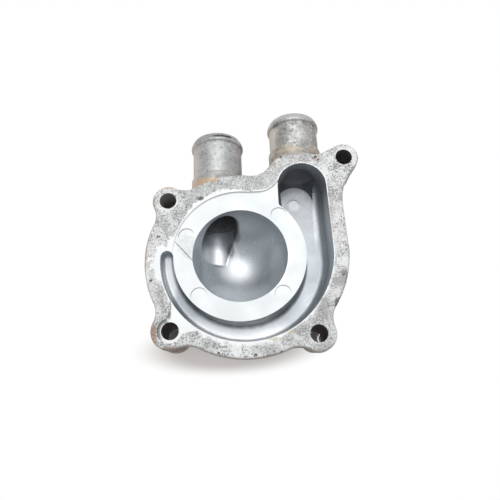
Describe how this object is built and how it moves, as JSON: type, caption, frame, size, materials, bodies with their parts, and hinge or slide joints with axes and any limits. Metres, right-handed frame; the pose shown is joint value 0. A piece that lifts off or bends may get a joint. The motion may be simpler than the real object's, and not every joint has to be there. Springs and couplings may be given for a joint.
{
  "type": "water pump cover",
  "caption": "Die-cast water pump cover with an impeller ring, a round inlet bowl, a volute channel, hose spigots for inlet and outlet, and bolt lugs around the flange.",
  "frame": {"origin": "on the impeller axis, in the plane of the mating face", "axes": "+Z leaves the mating face towards the pump body, +Y is the way the hose spigots point, +X completes the right hand"},
  "size_m": [0.0852, 0.1016, 0.0249],
  "materials": {
    "cast_aluminium": "as cast, weathered, with a machined mating face"
  },
  "bodies": {
    "root": {"pump_cover": "cast_aluminium"}
  },
  "joints": []
}
